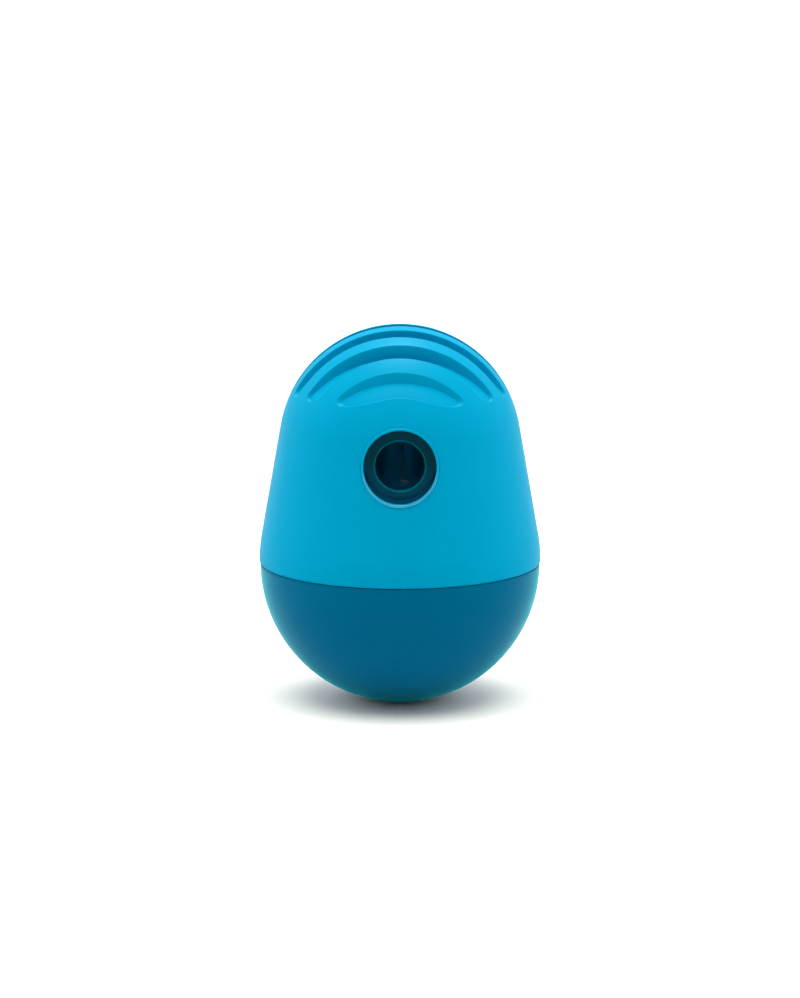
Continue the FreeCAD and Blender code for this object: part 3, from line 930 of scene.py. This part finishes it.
@dataclass(frozen=True)
class BowlAssembly:
    """Weighted lower half, in millimetres."""

    radius: float = 23.85
    foot_radius: float = 4.0
    wall: float = 1.8
    floor_pad_radius: float = 5.6
    parting_rise: float = 0.39
    seam_height: float = 0.25
    seam_depth: float = 1.2
    spigot_radius: float = 22.34
    spigot_height: float = 5.0
    spigot_wall: float = 1.2
    spigot_lead: float = 0.4
    ballast_height: float = 7.0
    ballast_play: float = 0.15
    post_radius: float = 3.0
    cover_thickness: float = 2.0
    pilot_spare: float = 0.4
    screw_play: float = 0.05
    screw: Screw = Screw(shank=1.2, reach=6.0, head=2.4, head_height=1.1)
    edge_round: float = 0.06
    edge_segments: int = 2
    cover_round: float = 0.12
    cover_steps: int = 6
    facets: int = 288
    arc_steps: int = 64

    @property
    def centre(self) -> float:
        """Height of the bowl's centre."""
        return math.sqrt(self.radius ** 2 - self.foot_radius ** 2)

    @property
    def inside(self) -> float:
        """Radius of the bowl's inside."""
        return self.radius - self.wall

    @property
    def floor(self) -> float:
        """Height of the floor inside the bowl."""
        return self.centre - math.sqrt(self.inside ** 2 - self.floor_pad_radius ** 2)

    @property
    def parting(self) -> float:
        """Height of the seat under the cap."""
        return self.centre + self.parting_rise

    @property
    def ballast_top(self) -> float:
        """Height of the weight's top."""
        return self.floor + self.ballast_height

    @property
    def cover_top(self) -> float:
        """Height of the floor plate's top."""
        return self.ballast_top + self.cover_thickness

    @property
    def screw_seat(self) -> float:
        """Height of the cover screw's seat."""
        return self.cover_top - self.screw.head_height - self.screw_play

    @property
    def screw_hole(self) -> float:
        """Radius of the hole round the cover screw."""
        return self.screw.shank + self.screw_play

    def tilt(self, radius: float, height: float) -> float:
        """Find the angle at which a sphere about the bowl's centre passes a height, in degrees."""
        return math.degrees(math.asin((height - self.centre) / radius))

    def bowl_outline(self) -> list[Point]:
        """Draw the bowl: outside, seam, spigot, inside, post and screw hole.

        Returns:
            Radius and height of the outline's corners.
        """
        middle = (0.0, self.centre)
        seam_floor = self.parting - self.seam_height
        seam_angle = self.tilt(self.radius, seam_floor)
        seam_inside = self.radius * math.cos(math.radians(seam_angle)) - self.seam_depth
        spigot_top = self.parting + self.spigot_height
        spigot_inside = self.spigot_radius - self.spigot_wall
        shoulder = self.centre - math.sqrt(self.inside ** 2 - spigot_inside ** 2)
        post_top = self.ballast_top - self.ballast_play
        pilot_floor = self.screw_seat - self.screw.reach - self.pilot_spare
        outline = [(0.0, 0.0)]
        outline += arc(middle, self.radius, self.tilt(self.radius, 0.0), seam_angle, self.arc_steps)
        outline += [
            (seam_inside, seam_floor),
            (seam_inside, self.parting),
            (self.spigot_radius, self.parting),
            (self.spigot_radius, spigot_top - self.spigot_lead),
            (self.spigot_radius - self.spigot_lead, spigot_top),
            (spigot_inside, spigot_top),
        ]
        inner_angles = self.tilt(self.inside, shoulder), self.tilt(self.inside, self.floor)
        outline += arc(middle, self.inside, *inner_angles, self.arc_steps)
        outline += [
            (self.post_radius, self.floor),
            (self.post_radius, post_top),
            (self.screw_hole, post_top),
            (self.screw_hole, pilot_floor),
            (0.0, pilot_floor),
        ]
        return outline

    def cover_outline(self) -> list[Point]:
        """Draw the floor plate over the weight, as a closed outline.

        Returns:
            Radius and height of the outline's corners.
        """
        outer = self.inside - self.ballast_play
        angles = self.tilt(outer, self.ballast_top), self.tilt(outer, self.cover_top)
        pit = self.screw.head + self.ballast_play
        outline = [(self.screw_hole, self.ballast_top)]
        outline += arc((0.0, self.centre), outer, *angles, self.cover_steps)
        outline += [
            (pit, self.cover_top),
            (pit, self.screw_seat),
            (self.screw_hole, self.screw_seat),
            (self.screw_hole, self.ballast_top),
        ]
        return outline

    def build(self, nodes: dict[str, bpy.types.Object], finishes: dict[Slot, bpy.types.Material]) -> None:
        """Build and dress the lower half.

        Args:
            nodes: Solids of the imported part, by name.
            finishes: Materials, by slot.
        """
        bowl = lathe("bowl_shell", self.bowl_outline(), self.facets)
        soften_edges(bowl, self.edge_round, self.edge_segments)
        smooth(bowl)
        dress(bowl, finishes[Slot.BOWL])
        install(bowl, Body.BOWL, Slot.BOWL, "lower_bowl")

        cover = lathe("bowl_floor_plate", self.cover_outline(), self.facets)
        soften_edges(cover, self.cover_round)
        smooth(cover)
        dress(cover, finishes[Slot.BOWL])
        install(cover, Body.BOWL, Slot.BOWL, "ballast_cover")

        screw = self.screw.build("floor_plate_screw", [Matrix.Translation((0.0, 0.0, self.screw_seat * MM))])
        dress(screw, finishes[Slot.SCREW])
        install(screw, Body.BOWL, Slot.SCREW, "cover_screw")

        weight = welded_copy(nodes["ballast_weight"], "steel_weight")
        dress(weight, finishes[Slot.WEIGHT])
        install(weight, Body.BOWL, Slot.WEIGHT, "ballast_weight")


@dataclass(frozen=True)
class CapAssembly:
    """Pull-off upper half with the cutter, in millimetres."""

    parting: float = 23.9022
    rim_radius: float = 24.0
    rim_height: float = 0.3
    blend_radius: float = 25.0
    dome_radius: float = 20.6
    dome_rise: float = 19.95
    groove_pairs: int = 3
    groove_pitch: float = 5.3
    groove_width: float = 2.65
    groove_depth: float = 2.5
    groove_end_depth: float = 0.35
    groove_end_rise: float = 9.1
    rim_drop: float = 0.12
    rim_reach: float = 0.5
    rim_play: float = 0.01
    bead_radius: float = 6.27
    bead_width: float = 0.48
    bead_height: float = 0.2
    bead_facets: int = 160
    bead_section: int = 24
    bead_smooth: float = 60.0
    pencil_height: float = 43.5022
    port_radius: float = 6.1
    collar_station: float = -19.2001
    skirt_radius: float = 5.95
    skirt_length: float = 1.0
    skirt_wall: float = 0.35
    skirt_overlap: float = 0.4
    skirt_sunk: float = 1.15
    bore_radius: float = 4.1
    bore_lean: float = 30.0
    taper_station: float = -11.2001
    taper_play: float = 0.01
    ear_spacing: float = 10.2
    ear_depth: float = -3.0
    ear_floor: float = 4.0
    ear_screw: Screw = Screw(shank=0.85, reach=5.2, head=1.9, head_height=1.3)
    blade_screw: Screw = Screw(shank=1.2, reach=4.0, head=2.3, head_height=1.1)
    blade_screw_place: Place = (4.4, -2.139, 40.747)
    taper_angle: float = 10.66

    @property
    def dome_centre(self) -> float:
        """Height of the dome's centre."""
        return self.parting + self.dome_rise

    @property
    def cone_angle(self) -> float:
        """Lean of the cone between the rim's round and the dome.

        Returns:
            The angle from upright, in radians.
        """
        middle = self.rim_radius - self.blend_radius
        rise = self.dome_centre - self.parting - self.rim_height
        turn = math.asin((self.blend_radius - self.dome_radius) / math.hypot(middle, rise))
        return math.atan(middle / rise) + turn

    def outer_surface(self, point: Vector) -> tuple[float, Vector]:
        """Measure from the cap's outside: the dome, the cone or the round above the rim.

        Args:
            point: A point, in metres.

        Returns:
            Its distance from the surface, in metres, and the normal there.
        """
        radius = math.hypot(point.x, point.y)
        side = Vector((point.x, point.y, 0.0)).normalized()
        up = Vector((0.0, 0.0, 1.0))
        across = radius / MM
        rise = point.z / MM - self.dome_centre
        cos, sin = math.cos(self.cone_angle), math.sin(self.cone_angle)
        if rise * cos > across * sin:
            reach = math.hypot(across, rise)
            return (reach - self.dome_radius) * MM, (side * across + up * rise) / max(reach, MM)
        middle = self.rim_radius - self.blend_radius
        lift = point.z / MM - self.parting - self.rim_height
        if lift * cos > (across - middle) * sin:
            return (across * cos + rise * sin - self.dome_radius) * MM, side * cos + up * sin
        reach = math.hypot(across - middle, lift)
        if lift < 0.0:
            return FAR_AWAY, up
        return (reach - self.blend_radius) * MM, (side * (across - middle) + up * lift) / reach

    def groove_floor(self, point: Vector) -> tuple[float, Vector]:
        """Measure from the shallow dome under the grooves.

        Args:
            point: A point, in metres.

        Returns:
            Its distance from the surface, in metres, and the normal there.
        """
        share = 1.0 - self.groove_end_depth / self.dome_radius
        end_radius = share * math.sqrt(self.dome_radius ** 2 - self.groove_end_rise ** 2)
        rise = self.dome_radius - self.groove_depth - share * self.groove_end_rise
        radius = (end_radius ** 2 + rise ** 2) / (2 * rise)
        centre = Vector((0.0, 0.0, self.dome_centre + self.dome_radius - self.groove_depth - radius)) * MM
        reach = point - centre
        return reach.length - radius * MM, reach.normalized()

    def groove_wall(self, point: Vector) -> tuple[float, Vector]:
        """Measure from the nearest groove's wall or round end, whose normal faces the groove.

        Args:
            point: A point, in metres.

        Returns:
            Its distance from the surface, in metres, and the normal there.
        """
        spring = self.dome_centre + self.groove_end_rise + self.groove_width / 2
        step = round(point.y / MM / self.groove_pitch)
        step = max(-self.groove_pairs, min(self.groove_pairs, step))
        inwards = Vector((0.0, step * self.groove_pitch * MM - point.y, 0.0))
        if point.z < spring * MM:
            inwards.z = spring * MM - point.z
        return inwards.length - self.groove_width / 2 * MM, inwards.normalized()

    def from_bore(self, point: Vector) -> tuple[float, Vector]:
        """Measure a point's distance from the pencil bore's axis, in metres, and the way back to it."""
        inwards = Vector((-point.x, 0.0, self.pencil_height * MM - point.z))
        return inwards.length, inwards.normalized()

    def port_wall(self, point: Vector) -> tuple[float, Vector]:
        """Measure from the wall of the port in the shell: distance and normal."""
        reach, inwards = self.from_bore(point)
        return reach - self.port_radius * MM, inwards

    def collar_face(self, point: Vector) -> tuple[float, Vector]:
        """Measure from the flat ring round the bore's mouth: distance and normal."""
        return point.y - self.collar_station * MM, Vector((0.0, -1.0, 0.0))

    def bore_wall(self, point: Vector) -> tuple[float, Vector]:
        """Measure from the straight part of the pencil bore.

        Args:
            point: A point, in metres.

        Returns:
            Its distance from the surface, in metres, and the normal there.
        """
        reach, inwards = self.from_bore(point)
        if point.y > (self.taper_station + self.taper_play) * MM:
            return FAR_AWAY, inwards
        return reach - self.bore_radius * MM, inwards

    def taper_wall(self, point: Vector) -> tuple[float, Vector]:
        """Measure from the tapered part of the pencil bore.

        Args:
            point: A point, in metres.

        Returns:
            Its distance from the surface, in metres, and the normal there.
        """
        reach, inwards = self.from_bore(point)
        angle = math.radians(self.taper_angle)
        depth = point.y / MM - self.taper_station
        radius = self.bore_radius - depth * math.tan(angle)
        away = (reach / MM - radius) * math.cos(angle)
        return away * MM, inwards * math.cos(angle) + Vector((0.0, -math.sin(angle), 0.0))

    def outer_radius(self, height: float) -> float:
        """Find the radius of the cap's outside at a height on its cone or dome.

        Args:
            height: The height, in millimetres.

        Returns:
            The radius, in millimetres.
        """
        rise = height - self.dome_centre
        cos, sin = math.cos(self.cone_angle), math.sin(self.cone_angle)
        if rise < self.dome_radius * sin:
            return (self.dome_radius - rise * sin) / cos
        return math.sqrt(self.dome_radius ** 2 - rise ** 2)

    def build_bead(self) -> bpy.types.Object:
        """Make the thin round bead that frames the pencil port and follows the cap's curve.

        Returns:
            The bead.
        """
        clear_selection()
        bpy.ops.mesh.primitive_torus_add(
            major_segments=self.bead_facets,
            minor_segments=self.bead_section,
            major_radius=self.bead_radius * MM,
            minor_radius=self.bead_width / 2 * MM,
        )
        bead = bpy.context.object
        bpy.ops.transform.resize(value=(1.0, 1.0, self.bead_height / (self.bead_width / 2)))
        bpy.ops.transform.rotate(value=math.pi / 2, orient_axis="X", center_override=(0.0, 0.0, 0.0))
        bpy.ops.transform.translate(value=(0.0, 0.0, self.pencil_height * MM))
        bpy.ops.object.transform_apply(location=True, rotation=True, scale=True)
        for vertex in bead.data.vertices:
            across = vertex.co.x / MM
            vertex.co.y -= math.sqrt(self.outer_radius(vertex.co.z / MM) ** 2 - across ** 2) * MM
        smooth(bead, self.bead_smooth)
        return bead

    def build_skirt(self) -> bpy.types.Object:
        """Make the thin skirt that carries the insert's collar forward into the port.

        Returns:
            The skirt.
        """
        inside = self.skirt_radius - self.skirt_wall
        back = [(inside, 0.0), (self.skirt_radius, 0.0)]
        outline = back + [(radius, self.skirt_length) for radius, _ in back[::-1]] + back[:1]
        skirt = lathe("collar_skirt", outline, self.bead_facets)
        for vertex in skirt.data.vertices:
            across, rise, front = vertex.co / MM
            height = self.pencil_height + rise
            station = self.collar_station + self.skirt_overlap
            if front > self.skirt_length / 2:
                sunk = self.skirt_sunk - math.sqrt(self.outer_radius(height) ** 2 - across ** 2)
                station = min(self.collar_station + self.skirt_overlap / 2, sunk)
            vertex.co = Vector((across, station, height)) * MM
        pick(skirt)
        bpy.ops.object.mode_set(mode="EDIT")
        bpy.ops.mesh.select_all(action="SELECT")
        bpy.ops.mesh.normals_make_consistent(inside=False)
        bpy.ops.object.mode_set(mode="OBJECT")
        smooth(skirt)
        return skirt

    def lower_rim(self, shell: bpy.types.Object) -> None:
        """Close the seam from above: carry the outer edge of the rim down to the bowl's edge.

        Args:
            shell: The cap's shell.
        """
        for vertex in shell.data.vertices:
            outside = math.hypot(vertex.co.x, vertex.co.y) > (self.rim_radius - self.rim_reach) * MM
            if outside and vertex.co.z < (self.parting + self.rim_play) * MM:
                vertex.co.z -= self.rim_drop * MM

    def ear_places(self) -> list[Matrix]:
        """Place the two screws that point up into the cap's posts.

        Returns:
            Their places, in metres.
        """
        height = (self.pencil_height + self.ear_floor) * MM
        upside_down = Matrix.Rotation(math.pi, 4, "X")
        return [
            Matrix.Translation((side * self.ear_spacing * MM, self.ear_depth * MM, height)) @ upside_down
            for side in (-1, 1)
        ]

    def blade_place(self) -> Matrix:
        """Place the screw that clamps the blade, square to its seat."""
        turned = Matrix.Rotation(math.radians(180.0 + self.taper_angle), 4, "X")
        return Matrix.Translation(Vector(self.blade_screw_place) * MM) @ turned

    def build(self, nodes: dict[str, bpy.types.Object], finishes: dict[Slot, bpy.types.Material]) -> None:
        """Build and dress the upper half.

        Args:
            nodes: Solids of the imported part, by name.
            finishes: Materials, by slot.
        """
        shell = welded_copy(nodes["upper_shell"], "cap_shell")
        true_normals(shell, [self.outer_surface, self.groove_floor, self.groove_wall, self.port_wall])
        self.lower_rim(shell)
        join_pieces(shell, self.build_bead())
        dress(shell, finishes[Slot.CAP])
        install(shell, Body.CAP, Slot.CAP, "upper_shell")

        insert = welded_copy(nodes["sharpener_insert"], "cutter_insert")
        true_normals(insert, [self.collar_face, self.bore_wall, self.taper_wall], self.bore_lean)
        join_pieces(insert, self.build_skirt())
        dress(insert, finishes[Slot.INSERT])
        install(insert, Body.CAP, Slot.INSERT, "sharpener_insert")

        ear_screws = self.ear_screw.build("insert_fixing_screws", self.ear_places())
        dress(ear_screws, finishes[Slot.SCREW])
        install(ear_screws, Body.CAP, Slot.SCREW, "insert_screws")

        clamp = self.blade_screw.build("blade_clamp_screw", [self.blade_place()])
        dress(clamp, finishes[Slot.SCREW])
        install(clamp, Body.CAP, Slot.SCREW, "blade_screw")

        dress(nodes["blade"], finishes[Slot.BLADE])
        log.info("blade: ground steel on the solid itself")


@dataclass(frozen=True)
class Studio:
    """White sweep under soft overhead light, with the darker room on the camera's side."""

    floor_size: float = 14.0
    floor_colour: Colour = (0.7, 0.7, 0.7)
    floor_seen: Colour = WHITE
    sun_strength: float = 2.75
    sun_angle: float = 58.0
    sun_tilt: float = -8.0
    sun_colour: Colour = (1.0, 1.0, 0.91)
    room_colour: Colour = (1.0, 1.0, 0.93)
    glint_strength: float = 14.0
    glint_angle: float = 24.0
    glint_tilt: float = 18.0
    front_light: float = 0.17
    back_light: float = 0.3
    side_light: float = 1.7
    side_way: Place = (0.78, 0.3, 0.55)
    fade_range: Point = (0.1, 0.8)
    lobe_range: Point = (0.58, 0.95)
    inner_power: float = 0.0004
    inner_size: float = 3.0
    inner_place: Place = (0.0, 6.0, 33.0)
    inner_colour: Colour = (0.1, 0.75, 0.85)

    @staticmethod
    def seen_rays(board: NodeBoard) -> bpy.types.NodeSocket:
        """Tell the rays that see the background, straight or in metal and glass, from those that light.

        Args:
            board: Board of the floor's or the world's tree.

        Returns:
            A socket that is 1 for camera, glossy and transmission rays and 0 for the others.
        """
        rays = board.add("ShaderNodeLightPath").outputs
        straight = board.calculate("MAXIMUM", rays["Is Camera Ray"], rays["Is Glossy Ray"])
        return board.calculate("MAXIMUM", straight, rays["Is Transmission Ray"])

    def build_floor(self) -> None:
        """Lay the pale floor."""
        clear_selection()
        bpy.ops.mesh.primitive_plane_add(size=self.floor_size, location=(0.0, 0.0, 0.0))
        floor = bpy.context.object
        floor.name = "studio_floor"
        material, board, shader = blank_material("pale_floor")
        tone = board.mix(self.seen_rays(board), self.floor_colour, self.floor_seen)
        matt = board.add("ShaderNodeBsdfDiffuse")
        board.join(tone, matt.inputs["Color"])
        material.node_tree.nodes.remove(shader)
        board.join(matt.outputs["BSDF"], material.node_tree.nodes["Material Output"].inputs["Surface"])
        dress(floor, material)

    @staticmethod
    def hang_sun(name: str, strength: float, angle: float, tilt: float) -> bpy.types.Object:
        """Hang a distant softbox overhead.

        Args:
            name: Name of the lamp.
            strength: Its strength.
            angle: How wide it is seen from the object, in degrees.
            tilt: How far behind the zenith it hangs, in degrees; in front of it where negative.

        Returns:
            The lamp.
        """
        lamp = bpy.data.lights.new(name, "SUN")
        lamp.energy = strength
        lamp.angle = math.radians(angle)
        holder = bpy.data.objects.new(name, lamp)
        holder.rotation_euler = (-math.radians(tilt), 0.0, 0.0)
        bpy.context.scene.collection.objects.link(holder)
        return holder

    def build_suns(self) -> None:
        """Hang the broad overhead light, which isn't reflected, and its bright middle, which only is."""
        softbox = self.hang_sun("overhead_softbox", self.sun_strength, self.sun_angle, self.sun_tilt)
        softbox.data.color = self.sun_colour
        softbox.visible_glossy = False
        glint = self.hang_sun("softbox_middle", self.glint_strength, self.glint_angle, self.glint_tilt)
        glint.visible_diffuse = False

    def build_world(self) -> None:
        """Surround the object with a white sweep that fades to the dark side of the room."""
        world = bpy.data.worlds.new("studio_room")
        world.use_nodes = True
        bpy.context.scene.world = world
        board = NodeBoard(world.node_tree)
        world.node_tree.nodes.clear()
        parts = board.split(board.add("ShaderNodeTexCoord").outputs["Generated"])
        fade = board.remap(parts["Y"], self.fade_range, (self.front_light, self.back_light))
        facing = board.add("ShaderNodeCombineXYZ")
        board.join(board.calculate("ABSOLUTE", parts["X"]), facing.inputs["X"])
        board.join(parts["Y"], facing.inputs["Y"])
        board.join(parts["Z"], facing.inputs["Z"])
        near = board.add("ShaderNodeVectorMath", operation="DOT_PRODUCT")
        near.inputs[1].default_value = self.side_way
        board.join(facing.outputs["Vector"], near.inputs[0])
        lobes = board.remap(near.outputs["Value"], self.lobe_range, (0.0, self.side_light))
        room = board.add("ShaderNodeBackground")
        board.feed(self.room_colour, room.inputs["Color"])
        board.join(board.calculate("ADD", fade, lobes), room.inputs["Strength"])
        white = board.add("ShaderNodeBackground")
        board.feed(WHITE, white.inputs["Color"])
        choice = board.add("ShaderNodeMixShader")
        board.join(self.seen_rays(board), choice.inputs["Fac"])
        board.join(room.outputs["Background"], choice.inputs[1])
        board.join(white.outputs["Background"], choice.inputs[2])
        output = board.add("ShaderNodeOutputWorld")
        board.join(choice.outputs["Shader"], output.inputs["Surface"])

    def build_inner_glow(self) -> None:
        """Light the inside a little, as daylight does through the thin plastic."""
        lamp = bpy.data.lights.new("light_through_plastic", "POINT")
        lamp.energy = self.inner_power
        lamp.color = self.inner_colour
        lamp.shadow_soft_size = self.inner_size * MM
        holder = bpy.data.objects.new("light_through_plastic", lamp)
        holder.location = Vector(self.inner_place) * MM
        bpy.context.scene.collection.objects.link(holder)

    def build(self) -> None:
        """Build floor, lights and room."""
        self.build_floor()
        self.build_suns()
        self.build_inner_glow()
        self.build_world()
        log.info("studio: floor, overhead light and room")


@dataclass(frozen=True)
class PhotoCamera:
    """Camera at the photograph's viewing angle, in millimetres and degrees."""

    back: float = 652.9
    height: float = 154.9
    pitch: float = 10.45
    focal_pixels: float = 3895.5
    sensor: float = 36.0
    nearest: float = 10.0
    farthest: float = 100000.0

    def build(self) -> None:
        """Place the camera and make it the scene's own."""
        data = bpy.data.cameras.new("photo_camera")
        data.sensor_fit = "AUTO"
        data.sensor_width = self.sensor
        data.lens = self.focal_pixels / max(PHOTO_WIDTH, PHOTO_HEIGHT) * self.sensor
        data.clip_start = self.nearest * MM
        data.clip_end = self.farthest * MM
        holder = bpy.data.objects.new("photo_camera", data)
        holder.location = (0.0, -self.back * MM, self.height * MM)
        holder.rotation_euler = (math.radians(90.0 - self.pitch), 0.0, 0.0)
        bpy.context.scene.collection.objects.link(holder)
        bpy.context.scene.camera = holder


def main() -> None:
    """Dress the part and set the scene round it."""
    logging.basicConfig(level=logging.INFO, format="%(message)s")
    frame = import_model()
    bpy.context.scene.view_settings.view_transform = "Standard"
    PhotoCamera().build()
    finishes = Finishes().build()
    BowlAssembly().build(frame["nodes"], finishes)
    CapAssembly().build(frame["nodes"], finishes)
    Studio().build()


if __name__ == "__main__":
    main()
